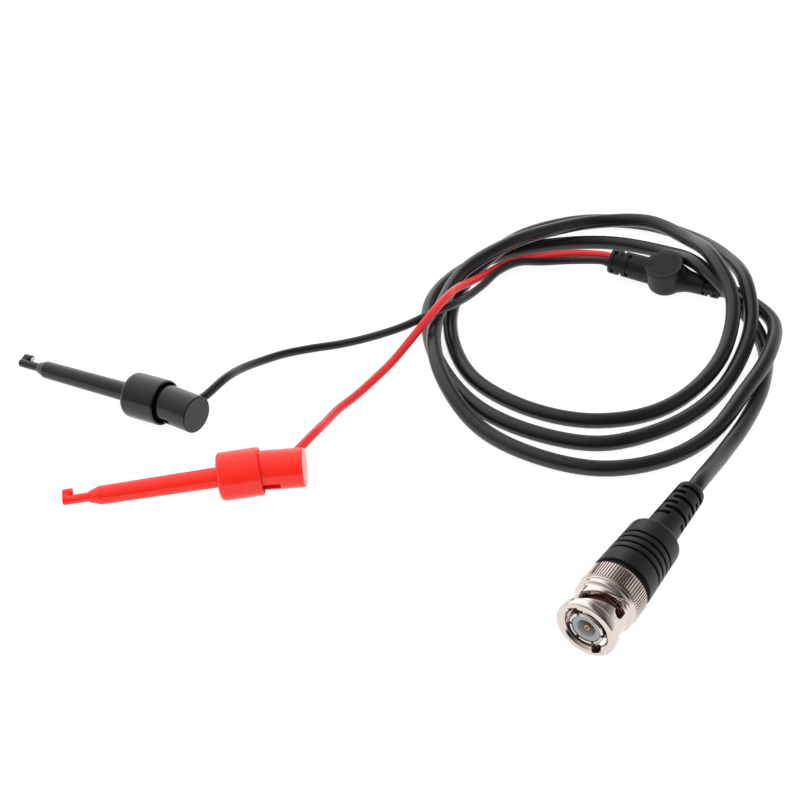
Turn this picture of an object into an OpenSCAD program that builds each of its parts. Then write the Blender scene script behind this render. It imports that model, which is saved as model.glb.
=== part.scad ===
// Test lead: bayonet coax plug to two spring hook clips through a moulded splitter.
// Millimetres. +Z up, the table is z = 0, and the two clips lie toward -X.

/* [Coax cable] */
// Outer diameter of the coaxial cable
coax_d = 4; // [3:0.1:5]
// Route steps between two written points of a cord
cord_steps = 2; // [1:1:4]

/* [Clip leads] */
// Outer diameter of the black and red leads
lead_d = 2.2; // [1.6:0.1:3]

/* [Bayonet plug] */
// Outer diameter of the coupling nut at its knurl
nut_d = 14.5; // [14:0.1:15]
// Length of the coupling nut
nut_len = 14.9; // [13:0.1:16]
// Bore of the coupling nut that takes the socket's shell
nut_bore_d = 9.9; // [9.8:0.05:10.2]
// Outer diameter of the slotted outer contact
contact_d = 8.1; // [8:0.02:8.2]
// Inner diameter of the slotted outer contact
contact_id = 6.84; // [6.6:0.02:7]
// Diameter of the centre pin
pin_d = 1.35; // [1.3:0.01:1.4]
// Number of grooves in the knurl
knurl_count = 72; // [40:2:80]

/* [Plug overmould and boot] */
// Diameter of the overmould next to the nut
mould_d = 14.1; // [13:0.1:14.5]
// Diameter of the overmould at its shoulder
mould_rear_d = 12.7; // [11:0.1:14]
// Distance from the plug's front face to the shoulder
mould_end = 32.2; // [30:0.1:38]
// Distance from the plug's front face to the end of the boot
boot_end = 51.2; // [44:0.1:56]
// Diameter of the boot at its base
boot_d = 8.2; // [7:0.1:9]
// Diameter of the boot at its end
boot_end_d = 6.9; // [6:0.1:8]

/* [Splitter] */
// Length of the splitter along the cord
split_len = 32.7; // [28:0.1:38]
// Diameter of the wide half, where the two leads come in
split_d = 7.5; // [7:0.1:8.5]
// Diameter of the narrow half, where the coax comes in
stub_d = 5.8; // [5.2:0.1:6.4]
// Diameter of the round pad
pad_d = 11; // [9:0.1:13]
// Height of the round pad
pad_h = 8.6; // [7:0.1:10]
// Distance between the centres of the two leads
lead_pitch = 3.2; // [2.8:0.1:4]

/* [Hook clips] */
// Length of a clip from the hook to the end of its button
clip_len = 58; // [50:0.5:65]
// Diameter of the barrel at its front
barrel_front_d = 4.5; // [4:0.1:6]
// Diameter of the barrel at the collar
barrel_rear_d = 4.9; // [4.5:0.1:6.5]
// Diameter of the finger collar
collar_d = 11.6; // [10:0.1:13]
// Distance from the hook to the front of the collar
collar_at = 37.5; // [30:0.5:40]
// Length of the collar
collar_len = 10.2; // [8:0.1:12]
// Diameter of the push button
button_d = 9.5; // [8:0.1:11]
// Travel of the button into the collar
travel = 4.5; // [3:0.5:6]
// Diameter of the coated hook
hook_d = 2.2; // [1.6:0.1:2.4]
// Diameter of the steel rod
rod_d = 1; // [0.8:0.1:1.4]

/* [Hidden] */

fine = 64;
soft = 32;
run_fit = 0.05;      // radial, a turning or sliding fit
free_gap = 0.3;      // radial, between parts that move and never touch
seat = 0.03;         // radial, a part pressed or moulded into another

nickel = [0.80, 0.78, 0.74];
gold = [0.90, 0.68, 0.32];
black_pvc = [0.11, 0.11, 0.12];
gloss_black = [0.13, 0.12, 0.13];
gloss_red = [0.93, 0.14, 0.10];
red_pvc = [0.85, 0.20, 0.22];
grey_blue = [0.62, 0.66, 0.70];
silicone_red = [0.55, 0.12, 0.10];
steel = [0.75, 0.75, 0.76];
brass = [0.78, 0.62, 0.32];
pale = [0.85, 0.84, 0.80];

// where the pieces lie
plug_at = [44.3, -70, nut_d / 2];
plug_turn = 55.8;
split_at = [64.4, 69.5, 4.95];
split_turn = -24.2;
pad_roll = 15;
pad_at = 16.5;
pad_pitch = 12;      // the pad's top leans this much toward the leads
clip_tilt = 6.7;
tip_h = 1.3;
black_tip = [-96.1, 21.2, tip_h];
black_turn = -26.9;
red_tip = [-74.7, -29.8, tip_h];
red_turn = 7.4;
black_roll = 110;    // direction of the lead's hole about the clip, from straight down
red_roll = 105;
black_slot = black_roll - 180;
red_slot = red_roll - 180;
button_lean = 6;     // both buttons lean sideways in their collars
button_pivot = 48.75;

// plug, along its axis from the front face
nut_r = nut_d / 2;
rim_len = 2;
rim_r = nut_r - 0.2;
neck_r = nut_r - 0.9;
web_at = 8.3;
web_end = 9.6;
cavity_r = 6.1;
knurl_at = 10;
knurl_end = 14.5;
contact_r = contact_d / 2;
contact_at = 0.35;
seat_r = contact_r + 0.2;
shank_r = contact_r + 0.2;
groove_r = shank_r - 0.5;
slit_w = 0.75;
slit_end = 5.7;
flange_r = nut_bore_d / 2 - free_gap;
gasket_at = 5.6;
flange_at = 7;
ring_at = 10.9;
ring_t = 0.6;
tail_flange_at = 13;
post_at = 14;
post_r = 2.6;
post_end = 19;
ferrule_t = 0.5;
ferrule_end = 22;
inner_mould_end = 27;
inner_mould_r = 5.3;
mould_at = nut_len + 0.3;
lip_end = mould_at + 0.95;
lip_r = mould_d / 2 - 0.75;
shoulder_r = 1;
entry_w = 2.6;
entry_r = 5.95;
ramp_mid = 5.3;
ramp_tilt = 18;
ramp_half = 45;
ramp_dir = 185;
detent_dir = 230;
detent_at = 5.3;

// splitter, along its axis from the leads' end
core_at = 7.6;
core_end = 20;
core_r = 3;
splice_at = 11;
splice_end = 17;
split_coax_at = 17.3;

// clip, along its axis from the hook
button_end = clip_len;
collar_end = collar_at + collar_len;
recess_floor = collar_at + 2.5;
button_front = recess_floor + travel + free_gap + button_d / 2 * sin(button_lean);
recess_r = button_d / 2 + 0.55;
chamber_r = 1.85;
chamber_at = 12;
spring_end = button_front - 0.25;
cone_at = 6.8;
cone_end = 9.4;
hook_r = hook_d / 2;
rod_r = rod_d / 2;
hook_from = 0.6;        // flat end of the hook
bend_at = 2.2;          // the square bend that joins the nib to the stem ends here
bend_w = 1.6;
nib_r = 0.95;
nib_at = 1.9;           // from the stem's axis to the nib's
nib_end = 3;
hook_end = chamber_at - 0.2;
black_hook_roll = 105;  // side of the clip that the hook turns to, from straight down
red_hook_roll = 110;
pocket_r = 2.6;
pocket_at = 47.5;
pocket_end = 56.8;
slot_w = 1.8;
slot_at = button_front + 1;
slot_end = 52.3;
hole_from = 52.2;
hole_lean = 40;
hole_r = lead_d / 2 + 0.05;
lead_in = 3;         // radius in the button where a lead starts

// written points of the cords
coax_pts = [[84, -10, 3.5], [92.5, 4, 2.25], [99.5, 19, 2.25], [102.5, 35, 2.5],
  [96.5, 49, 7], [87.5, 61.5, 9.9], [80.5, 75.5, 4.25], [66.5, 82.5, 2.25], [50, 81.5, 2],
  [34.5, 76, 2], [21.5, 66.5, 2], [13, 52.5, 2], [12, 36.5, 2], [16, 20.5, 2],
  [24.5, 6.5, 2], [38, -2.5, 2], [54, -6, 2], [69.5, -1, 2.25], [82.5, 9, 2.25], [92, 22, 2.75],
  [98.5, 36.5, 7.5], [99, 52, 11.5], [96.5, 68, 8.5], [90.5, 82.5, 4.5], [78.5, 93, 2.25],
  [62.5, 94, 2.5], [48.5, 86, 5.25], [36, 75.5, 6.75], [25, 64, 3.75], [18.5, 49, 2.25],
  [18.5, 32.5, 2], [24, 17.5, 2], [36.5, 7, 2], [52, 2.5, 2], [68, 5.5, 2.25],
  [81, 15.5, 2.5], [90.5, 28.5, 5.5], [94, 43, 11.5], [90.5, 58.5, 14.5],
  [86.5, 73.5, 10.25], [77, 86.5, 7.5], [61.5, 87.5, 6.25], [47.5, 79.5, 8.25],
  [34.5, 69.5, 9.75], [22, 59, 7.75], [15.5, 44.5, 6.25], [13, 28, 6.75], [16, 12, 5.5],
  [24.5, -1.5, 2.5], [37.5, -11, 2.25], [53.5, -15, 2], [69.5, -11.5, 2.25], [82.5, -2, 2.5],
  [92.5, 11, 5.25], [101, 24.5, 7], [105.5, 40.5, 6]];
black_pts = [[-39.5, 6.5, 9.75], [-36.5, 14, 6.75], [-32.5, 20.5, 4],
  [-26.5, 26.5, 2], [-19.5, 30, 1.25], [-11.5, 32, 1.5], [-3.5, 32.5, 3.75],
  [4.5, 32.5, 7.25], [11.5, 34.5, 10], [18, 40, 9.5], [22.5, 46.5, 7.75], [27, 53.5, 6.75],
  [31.5, 60.5, 6.5], [37.5, 66.5, 5.5], [45, 70, 3.5], [53, 71, 3.5]];
red_pts = [[-15.5, -11, 8.5], [-13.5, -4, 5.5], [-11, 3.5, 3],
  [-7, 10.5, 1.5], [-2.5, 17.5, 1.25], [2.5, 23.5, 3], [7.5, 28, 7.5],
  [12.5, 32.5, 12.25], [16.5, 39, 13], [19.5, 46.5, 10.5], [23, 53, 7.75],
  [27.5, 59.5, 5.75], [32.5, 66, 4.5], [39, 71, 3.5], [46.5, 73.5, 3.25], [54.5, 74, 4]];

// the ends that the cords meet, worked out from where the pieces lie
function heading(a) = [cos(a), sin(a), 0];
function across(a) = [-sin(a), cos(a), 0];
function clip_axis(a) = [cos(a) * cos(clip_tilt), sin(a) * cos(clip_tilt), sin(clip_tilt)];
function clip_up(a) = cross(clip_axis(a), across(a));
function button_axis(a) = clip_axis(a) * cos(button_lean) - across(a) * sin(button_lean);
function button_side(a) = across(a) * cos(button_lean) + clip_axis(a) * sin(button_lean);
function hole_dir(a, roll) = (button_side(a) * sin(roll) - clip_up(a) * cos(roll)) * cos(hole_lean)
  + button_axis(a) * sin(hole_lean);
function hole_at(tip, a) = tip + clip_axis(a) * button_pivot
  + button_axis(a) * (hole_from - button_pivot);
lead_start = lead_in / cos(hole_lean);
lead_run = lead_start + 3;
coax_a = plug_at + heading(plug_turn) * boot_end;
coax_b = split_at + heading(split_turn) * split_len;
coax_route = concat([coax_a, coax_a + heading(plug_turn) * 5], coax_pts,
  [coax_b + heading(split_turn) * 5, coax_b]);
black_a = hole_at(black_tip, black_turn);
black_d = hole_dir(black_turn, black_roll);
black_b = split_at - across(split_turn) * lead_pitch / 2;
black_route = concat([black_a + black_d * lead_start, black_a + black_d * lead_run], black_pts,
  [black_b - heading(split_turn) * 3, black_b]);
red_a = hole_at(red_tip, red_turn);
red_d = hole_dir(red_turn, red_roll);
red_b = split_at + across(split_turn) * lead_pitch / 2;
red_route = concat([red_a + red_d * lead_start, red_a + red_d * lead_run], red_pts,
  [red_b - heading(split_turn) * 3, red_b]);

// a smooth line through the written points
function bend(a, b, c, d, t) = 0.5 * (2 * b + (c - a) * t + (2 * a - 5 * b + 4 * c - d) * t * t
  + (3 * b - a - 3 * c + d) * t * t * t);
function line(p, k) = concat([for (i = [0 : len(p) - 2]) for (j = [0 : k - 1])
  bend(i == 0 ? 2 * p[0] - p[1] : p[i - 1], p[i], p[i + 1],
    i == len(p) - 2 ? 2 * p[i + 1] - p[i] : p[i + 2], j / k)], [p[len(p) - 1]]);
function unit(v) = v / norm(v);
function along(q, i) = unit(q[min(i + 1, len(q) - 1)] - q[max(i - 1, 0)]);
function run(q) = len(q) < 2 ? 0 : [for (i = 0, s = 0; i < len(q);
  s = s + (i < len(q) - 1 ? norm(q[i + 1] - q[i]) : 0), i = i + 1) s];
function least(q, d, apart) = let (s = run(q)) min([for (i = [0 : len(q) - 1])
  for (j = [i + 1 : len(q) - 1]) if (s[j] - s[i] > apart && abs(q[i][2] - q[j][2]) < 3 * d)
  norm(q[i] - q[j])]) - d;

module tube(q, d, n) {
  m = len(q);
  points = [for (i = [0 : m - 1]) let (t = along(q, i), s = unit(cross(t, [0, 0, 1])),
    u = cross(s, t)) for (k = [0 : n - 1])
    q[i] + d / 2 * (cos(360 * (k + 0.5) / n) * s + sin(360 * (k + 0.5) / n) * u)];
  walls = [for (i = [0 : m - 2]) for (k = [0 : n - 1]) let (a = i * n + k,
    b = i * n + (k + 1) % n) each [[a, a + n, b], [b, a + n, b + n]]];
  caps = [for (k = [1 : n - 2]) each [[0, k, k + 1],
    [(m - 1) * n, (m - 1) * n + k + 1, (m - 1) * n + k]]];
  polyhedron(points, concat(walls, caps), convexity = 10);
}

module at_plug() translate(plug_at) rotate([0, 0, plug_turn]) rotate([0, 90, 0]) children();
module at_split() translate(split_at) rotate([0, 0, split_turn]) rotate([0, 90, 0]) children();
module at_clip(tip, a) translate(tip) rotate([0, 0, a]) rotate([0, -clip_tilt, 0])
  rotate([0, 90, 0]) children();
module turned(profile, n = fine) rotate_extrude($fn = n) polygon(profile);
module arc_cut(z, w, r1, r2, mid, half) translate([0, 0, z - w / 2]) rotate([0, 0, mid - half])
  rotate_extrude(angle = 2 * half, $fn = soft) translate([r1, 0]) square([r2 - r1, w]);
// rib slots of a strain relief: pairs of arcs, each level turned a quarter from the last
module relief(levels, w, r1, r2, mid, half) for (i = [0 : len(levels) - 1]) for (k = [0, 180])
  arc_cut(levels[i], w, r1, r2, mid + k + (i % 2) * 90, half);

// ---- plug ----
module nut_slots() for (k = [0, 180]) rotate([0, 0, k]) {
  rotate([0, 0, ramp_dir - ramp_half + 2]) translate([0, -entry_w / 2, -1])
    cube([entry_r, entry_w, 5]);
  translate([0, 0, ramp_mid]) rotate([0, 0, ramp_dir]) rotate([ramp_tilt, 0, 0])
    rotate([0, 0, -ramp_half]) rotate_extrude(angle = 2 * ramp_half, $fn = fine)
    translate([4.6, -entry_w / 2]) square([4, entry_w]);
  rotate([0, 0, detent_dir]) translate([4.6, 0, detent_at]) rotate([0, 90, 0])
    cylinder(d = entry_w, h = 4, $fn = soft);
  rotate([0, 0, detent_dir]) translate([4.6, -entry_w / 2, detent_at]) cube([4, entry_w, 1.4]);
}
module coupling_nut() color(nickel) at_plug() difference() {
  union() {
    turned([[nut_bore_d / 2 + 0.55, 0], [rim_r - 0.45, 0], [rim_r - 0.12, 0.25], [rim_r, 0.7],
      [rim_r, rim_len], [rim_r - 0.25, rim_len + 0.25], [neck_r, rim_len + 0.4],
      [neck_r, 7.5], [nut_r - 0.5, 7.8], [nut_r - 0.25, 8], [nut_r - 0.25, 8.7],
      [nut_r - 0.55, 8.9], [nut_r - 0.55, 9.2], [nut_r - 0.25, 9.4], [nut_r - 0.25, 9.7],
      [nut_r - 0.45, 9.8], [nut_r - 0.45, knurl_end + 0.1], [nut_r - 0.7, nut_len], [cavity_r, nut_len],
      [cavity_r, web_end], [shank_r + run_fit, web_end], [shank_r + run_fit, web_at],
      [nut_bore_d / 2, web_at], [nut_bore_d / 2, 0.6]], 96);
    translate([0, 0, knurl_at]) linear_extrude(knurl_end - knurl_at) difference() {
      polygon([for (i = [0 : 2 * knurl_count - 1])
        (nut_r - (i % 2) * 0.25) * [cos(180 * i / knurl_count), sin(180 * i / knurl_count)]]);
      circle(r = cavity_r + 0.2, $fn = fine);
    }
  }
  nut_slots();
}
module plug_body() color(nickel) at_plug() difference() {
  turned([[contact_id / 2, contact_at + 0.1], [contact_r - 0.3, contact_at],
    [contact_r, contact_at + 0.3], [contact_r, gasket_at - 0.1],
    [seat_r, gasket_at - 0.1], [seat_r, flange_at], [flange_r, flange_at],
    [flange_r, web_at - 0.1], [shank_r, web_at - 0.1], [shank_r, ring_at - 0.02],
    [groove_r, ring_at - 0.02], [groove_r, ring_at + ring_t + 0.02],
    [shank_r, ring_at + ring_t + 0.02], [shank_r, tail_flange_at], [5.2, tail_flange_at],
    [5.2, post_at], [post_r, post_at], [post_r, post_end], [1.55, post_end], [1.55, 8],
    [contact_id / 2, 8]]);
  for (k = [0 : 5]) rotate([0, 0, 25 + 60 * k]) translate([2.5, -slit_w / 2, -1])
    cube([3, slit_w, slit_end + 1]);
}
module gasket() color(silicone_red) at_plug() turned([[seat_r + seat, gasket_at],
  [flange_r - 0.05, gasket_at], [flange_r - 0.05, flange_at - 0.02],
  [seat_r + seat, flange_at - 0.02]]);
module insulator() color(grey_blue) at_plug() turned([[pin_d / 2 + 0.22, 5.2], [1.35, 5.2],
  [1.5, 4.6], [2.1, 1], [2.2, 0.75], [2.4, 0.6], [contact_id / 2 - 0.2, 0.6],
  [contact_id / 2 - 0.02, 0.8], [contact_id / 2 - 0.02, 7.95], [pin_d / 2 + 0.22, 7.95]]);
module centre_pin() color(gold) at_plug() difference() {
  turned([[0, 0.9], [pin_d / 2 - 0.15, 0.9], [pin_d / 2, 1.1], [pin_d / 2, 5], [pin_d / 2 + 0.2, 5],
    [pin_d / 2 + 0.2, 8.1], [0.95, 8.1], [0.95, 11], [0, 11]], soft);
  translate([0, 0, 0.4]) cylinder(r = 0.32, h = 2, $fn = soft);
}
module wave_washer() color(steel) at_plug() turned([[shank_r + 0.15, web_end + 0.05],
  [5.75, 10.55], [5.75, 10.8], [shank_r + 0.15, web_end + 0.3]]);
module retaining_ring() color(steel) at_plug() translate([0, 0, ring_at]) rotate([0, 0, 20])
  rotate_extrude(angle = 320, $fn = fine) translate([groove_r + seat, 0])
  square([1.7, ring_t]);
module crimp_ferrule() color(nickel) at_plug() turned([[post_r + seat, post_at + 0.02],
  [post_r + ferrule_t, post_at + 0.02], [post_r + ferrule_t, ferrule_end],
  [coax_d / 2 + seat, ferrule_end], [coax_d / 2 + seat, ferrule_end - 0.5],
  [post_r + seat, ferrule_end - 1.5]]);
module plug_inner_mould() color(pale) at_plug() turned([
  [post_r + ferrule_t + seat, post_at + 0.05], [inner_mould_r, post_at + 0.05],
  [inner_mould_r, inner_mould_end - 1], [inner_mould_r - 1, inner_mould_end],
  [coax_d / 2 + seat, inner_mould_end], [coax_d / 2 + seat, ferrule_end + 0.05],
  [post_r + ferrule_t + seat, ferrule_end + 0.05]]);
module mould_ring(z) turned([[mould_d / 2 - 0.85, z - 0.3], [mould_d / 2 + 1, z - 0.3],
  [mould_d / 2 + 1, z + 0.3], [mould_d / 2 - 0.85, z + 0.3]]);
module plug_overmould() color(black_pvc) at_plug() difference() {
  turned(concat([[inner_mould_r + seat, mould_at], [lip_r, mould_at], [lip_r, lip_end],
    [mould_d / 2 - 0.2, lip_end], [mould_d / 2, lip_end + 0.25]],
    [for (a = [0 : 18 : 90]) [mould_rear_d / 2 - shoulder_r + shoulder_r * cos(a),
      mould_end - shoulder_r + shoulder_r * sin(a)]],
    [[boot_d / 2 + 0.3, mould_end], [boot_d / 2 + 0.05, mould_end + 0.25],
    [boot_d / 2, mould_end + 1], [boot_end_d / 2, boot_end - 0.9],
    [boot_end_d / 2 - 0.25, boot_end - 0.3], [boot_end_d / 2 - 0.7, boot_end],
    [coax_d / 2 + seat, boot_end], [coax_d / 2 + seat, inner_mould_end + seat],
    [inner_mould_r - 1 + seat, inner_mould_end + seat],
    [inner_mould_r + seat, inner_mould_end - 1 + seat]]));
  for (z = [20.8, 22.8, 24.8, 26.8]) mould_ring(z);
  relief([38, 40.1, 42.2, 44.3, 46.4, 48.5], 1.1, 2.75, 6, 303, 62);
}
module coax_plug_end() color(black_pvc) at_plug() turned([[0, 11.02], [1.5, 11.02],
  [1.5, ferrule_end - 2], [coax_d / 2, ferrule_end - 1], [coax_d / 2, boot_end], [0, boot_end]],
  soft);

// ---- cords ----
module coax_cable() color(black_pvc) {
  q = line(coax_route, cord_steps);
  echo("coax length", run(q)[len(q) - 1]);
  echo("coax least gap to itself", least(line(coax_route, 8), coax_d, 4 * coax_d));
  tube(q, coax_d, 8);
}
module black_lead() color(black_pvc) {
  q = line(black_route, cord_steps);
  echo("black lead length", run(q)[len(q) - 1]);
  tube(q, lead_d, 8);
}
module red_lead() color(red_pvc) {
  q = line(red_route, cord_steps);
  echo("red lead length", run(q)[len(q) - 1]);
  tube(q, lead_d, 8);
}

// ---- splitter ----
module split_shell() {
  turned([[0, 0], [split_d / 2 - 0.5, 0], [split_d / 2 - 0.15, 0.4], [split_d / 2, 12],
    [split_d / 2, pad_at + 2], [stub_d / 2 + 1.3, pad_at + 4], [stub_d / 2 + 0.25, pad_at + 6.5],
    [stub_d / 2, pad_at + 8.5], [stub_d / 2 - 0.2, split_len - 0.5],
    [stub_d / 2 - 0.5, split_len], [0, split_len]]);
  translate([0, 0, pad_at]) rotate([0, 0, 180 + pad_roll])
    rotate([0, 90 + pad_pitch, 0]) translate([0, 0, 4.6 - pad_h]) turned(concat([[0, 0]],
      [for (a = [0 : 15 : 90]) [pad_d / 2 - 2.5 + 2.5 * sin(a), 2.5 - 2.5 * cos(a)]],
      [[pad_d / 2, pad_h - 0.3], [pad_d / 2 - 0.3, pad_h], [0, pad_h]]));
}
module splitter_housing() color(black_pvc) at_split() difference() {
  split_shell();
  translate([0, 0, core_at - seat]) cylinder(r = core_r + seat, h = core_end - core_at + 2 * seat,
    $fn = fine);
  translate([0, 0, core_end]) cylinder(d = coax_d + 2 * seat, h = 20, $fn = soft);
  for (k = [-1, 1]) translate([0, k * lead_pitch / 2, -1])
    cylinder(d = lead_d + 2 * seat, h = core_at + 2, $fn = soft);
  relief([1.6, 3.7, 5.8], 1, 3.1, 6, 240, 58);
  relief([28.2, 29.8, 31.4], 0.85, 2.3, 6, 240, 58);
}
module splitter_core() color(pale) at_split() difference() {
  translate([0, 0, core_at]) cylinder(r = core_r, h = core_end - core_at, $fn = fine);
  translate([0, 0, split_coax_at - seat]) cylinder(d = coax_d + 2 * seat, h = 9, $fn = soft);
  for (k = [-1, 1]) translate([0, k * lead_pitch / 2, 0]) {
    cylinder(d = lead_d + 2 * seat, h = splice_at + 1, $fn = soft);
    translate([0, 0, splice_at]) cylinder(d = lead_d + 0.2 + 2 * seat,
      h = splice_end - splice_at + seat, $fn = soft);
  }
}
module splice(side) at_split() translate([0, side * lead_pitch / 2, 0]) {
  translate([0, 0, 0]) cylinder(d = lead_d, h = splice_at, $fn = soft);
  translate([0, 0, splice_at]) cylinder(d = lead_d + 0.2, h = splice_end - splice_at, $fn = soft);
}
module black_splice() color(black_pvc) splice(-1);
module red_splice() color(red_pvc) splice(1);
module coax_splitter_end() color(black_pvc) at_split() translate([0, 0, split_coax_at])
  cylinder(d = coax_d, h = split_len - split_coax_at, $fn = soft);

// ---- hook clips ----
module barrel() turned(concat([[hook_r + run_fit, cone_at], [hook_r + 0.2, cone_at],
  [hook_r + 0.3, cone_at + 0.15], [barrel_front_d / 2 - 0.12, cone_end - 0.3],
  [barrel_front_d / 2, cone_end], [barrel_rear_d / 2, collar_at - 0.3],
  [barrel_rear_d / 2 + 0.3, collar_at]],
  [for (a = [0 : 18 : 90]) [collar_d / 2 - 1.2 + 1.2 * sin(a), collar_at + 1.2 - 1.2 * cos(a)]],
  [[collar_d / 2, collar_end - 0.4], [collar_d / 2 - 0.15, collar_end - 0.1],
    [collar_d / 2 - 0.35, collar_end], [recess_r, collar_end], [recess_r, recess_floor],
    [chamber_r, recess_floor], [chamber_r, chamber_at], [hook_r + run_fit, chamber_at]]));
// tips what it holds over by the button's lean
module leaning() translate([0, 0, button_pivot]) rotate([button_lean, 0, 0])
  translate([0, 0, -button_pivot]) children();
module button(roll, slot) difference() {
  leaning() difference() {
    turned([[0, button_front], [button_d / 2 - 0.2, button_front], [button_d / 2, button_front + 0.2],
      [button_d / 2, button_end - 0.7], [button_d / 2 - 0.1, button_end - 0.3],
      [button_d / 2 - 0.4, button_end], [0, button_end]]);
    translate([0, 0, pocket_at]) cylinder(r = pocket_r, h = pocket_end - pocket_at, $fn = fine);
    rotate([0, 0, roll]) translate([0, 0, hole_from]) rotate([0, 90 - hole_lean, 0])
      translate([0, 0, 2]) cylinder(r = hole_r, h = 8, $fn = soft);
    rotate([0, 0, slot]) translate([pocket_r - 0.4, -slot_w / 2, slot_at])
      cube([4, slot_w, slot_end - slot_at]);
  }
  translate([0, 0, button_front - 1]) cylinder(r = rod_r + 0.05, h = pocket_at - button_front + 2,
    $fn = soft);
}
module hook() difference() {
  union() {
    translate([0, 0, hook_from]) cylinder(r = hook_r, h = hook_end - hook_from, $fn = soft);
    translate([nib_at, 0, hook_from]) cylinder(r = nib_r, h = nib_end - hook_from, $fn = soft);
    translate([0, -bend_w / 2, hook_from]) cube([nib_at, bend_w, bend_at - hook_from]);
  }
  translate([0, 0, bend_at + 0.5]) cylinder(r = rod_r + 0.02, h = 20, $fn = soft);
  translate([nib_at, 0, nib_end - 0.8]) cylinder(r = 0.57, h = 2, $fn = soft);
}
module hook_contact() translate([nib_at, 0, nib_end - 0.8])
  cylinder(r = 0.55, h = 0.9, $fn = soft);
module rod() translate([0, 0, bend_at + 0.6])
  cylinder(r = rod_r, h = pocket_at + 1.2 - bend_at - 0.6, $fn = soft);
module spring_sleeve() turned([[rod_r + 0.5, chamber_at + 0.05], [rod_r + 0.9, chamber_at + 0.05],
  [rod_r + 0.9, spring_end], [rod_r + 0.5, spring_end]], soft);
module terminal() turned([[rod_r + 0.02, pocket_at + 0.3], [1.2, pocket_at + 0.3],
  [1.2, pocket_at + 5], [0, pocket_at + 5], [0, pocket_at + 1.25],
  [rod_r + 0.02, pocket_at + 1.25]], soft);

module black_barrel() color(gloss_black) at_clip(black_tip, black_turn) barrel();
module black_button() color(gloss_black) at_clip(black_tip, black_turn)
  button(black_roll, black_slot);
module black_hook() color(gloss_black) at_clip(black_tip, black_turn)
  rotate([0, 0, black_hook_roll]) hook();
module black_hook_contact() color(steel) at_clip(black_tip, black_turn)
  rotate([0, 0, black_hook_roll]) hook_contact();
module black_rod() color(steel) at_clip(black_tip, black_turn) rod();
module black_spring() color(steel) at_clip(black_tip, black_turn) spring_sleeve();
module black_terminal() color(brass) at_clip(black_tip, black_turn) terminal();
module red_barrel() color(gloss_red) at_clip(red_tip, red_turn) barrel();
module red_button() color(gloss_red) at_clip(red_tip, red_turn) button(red_roll, red_slot);
module red_hook() color(gloss_red) at_clip(red_tip, red_turn)
  rotate([0, 0, red_hook_roll]) hook();
module red_hook_contact() color(steel) at_clip(red_tip, red_turn)
  rotate([0, 0, red_hook_roll]) hook_contact();
module red_rod() color(steel) at_clip(red_tip, red_turn) rod();
module red_spring() color(steel) at_clip(red_tip, red_turn) spring_sleeve();
module red_terminal() color(brass) at_clip(red_tip, red_turn) terminal();

coupling_nut();
plug_body();
gasket();
insulator();
centre_pin();
wave_washer();
retaining_ring();
crimp_ferrule();
plug_inner_mould();
plug_overmould();
coax_plug_end();
coax_cable();
coax_splitter_end();
splitter_housing();
splitter_core();
black_splice();
red_splice();
black_lead();
red_lead();
black_barrel();
black_button();
black_hook();
black_hook_contact();
black_rod();
black_spring();
black_terminal();
red_barrel();
red_button();
red_hook();
red_hook_contact();
red_rod();
red_spring();
red_terminal();
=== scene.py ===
# %% [markdown]
# # A bayonet test lead with two hook clips
# The real object is a coaxial cable with a bayonet plug on one end. The other end goes into a
# moulded splitter, from which a black and a red lead run to two small spring hooks.
# The measured solids are loaded first. They fix where everything lies and how it moves, so the
# work here is to give each of them its true form and finish.

# %% Load the measured solids
import math

import bmesh
import bpy
from mathutils import Matrix, Vector


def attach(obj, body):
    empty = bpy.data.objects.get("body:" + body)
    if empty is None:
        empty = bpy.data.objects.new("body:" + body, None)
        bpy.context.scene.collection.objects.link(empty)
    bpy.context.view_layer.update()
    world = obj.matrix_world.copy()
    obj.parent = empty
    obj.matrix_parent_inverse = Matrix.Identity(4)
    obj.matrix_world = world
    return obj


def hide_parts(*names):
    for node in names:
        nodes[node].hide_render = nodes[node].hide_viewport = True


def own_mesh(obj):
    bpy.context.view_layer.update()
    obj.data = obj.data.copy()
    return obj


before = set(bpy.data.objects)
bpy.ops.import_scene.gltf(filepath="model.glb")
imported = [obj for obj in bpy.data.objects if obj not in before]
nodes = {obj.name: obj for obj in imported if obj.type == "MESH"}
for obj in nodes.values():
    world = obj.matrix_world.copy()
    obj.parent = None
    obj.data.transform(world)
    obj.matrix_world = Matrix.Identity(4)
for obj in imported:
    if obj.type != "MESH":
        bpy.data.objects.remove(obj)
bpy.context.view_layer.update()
MM = 0.001

# %% [markdown]
# ## Small helpers for node trees
# Colours are written as the usual six-digit codes, which are for the screen. Shaders work in
# linear light, so one function converts them. One more function adds a node with its settings
# and links, which keeps each material as short as its list of nodes.


# %% Colour and node helpers
def linear(code):
    """A screen colour such as #c83020 as the linear values that a shader needs."""
    parts = [int(code[i : i + 2], 16) / 255 for i in (1, 3, 5)]
    return [v / 12.92 if v <= 0.04045 else ((v + 0.055) / 1.055) ** 2.4 for v in parts] + [1]


def add(tree, kind, inputs=None, **settings):
    """Adds a node. Inputs go by name or number, and each is a value or another node's output."""
    node = tree.nodes.new(kind)
    for key, value in settings.items():
        setattr(node, key, value)
    for key, value in (inputs or {}).items():
        if isinstance(value, bpy.types.NodeSocket):
            tree.links.new(value, node.inputs[key])
        else:
            node.inputs[key].default_value = value
    return node


print("mid grey is", round(linear("#808080")[0], 3), "in linear light")


# %% Geometry node helpers
def interface(tree, inputs):
    """Gives a tree its geometry output and named inputs, and returns their identifiers."""
    tree.interface.new_socket("Geometry", in_out="OUTPUT", socket_type="NodeSocketGeometry")
    return {
        name: tree.interface.new_socket(
            name, in_out="INPUT", socket_type="NodeSocket" + kind).identifier
        for name, kind in inputs.items()
    }


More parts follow.
